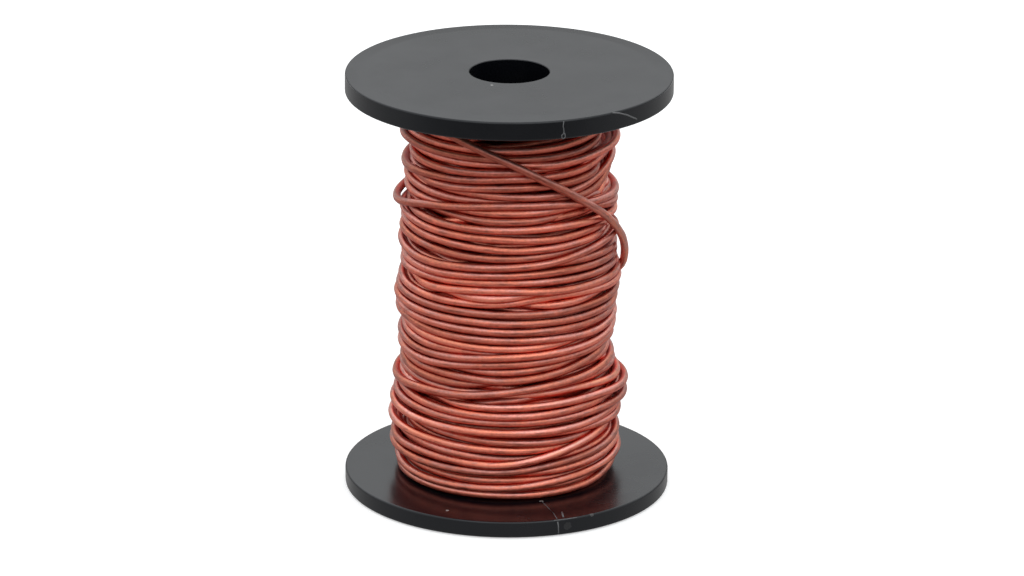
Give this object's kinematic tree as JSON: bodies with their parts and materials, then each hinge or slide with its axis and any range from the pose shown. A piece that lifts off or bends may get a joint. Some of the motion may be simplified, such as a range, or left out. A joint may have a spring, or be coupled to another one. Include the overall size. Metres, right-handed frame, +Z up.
{
  "type": "wire coil",
  "caption": "Upright plastic bobbin with flat round flanges and a through bore, wound unevenly with bare copper wire whose last turn slants across the winding.",
  "frame": {"origin": "centre of the lower flange's outer face, where the bobbin stands", "axes": "+Z up along the bore, -Y the front, +X to the right of the front, where the loose end bulges out"},
  "size_m": [0.05, 0.05, 0.0664],
  "materials": {
    "bobbin_plastic": "semi-gloss black, moulded",
    "copper": null
  },
  "bodies": {
    "root": {"bobbin": "bobbin_plastic", "copper_wire": "copper"}
  },
  "joints": []
}
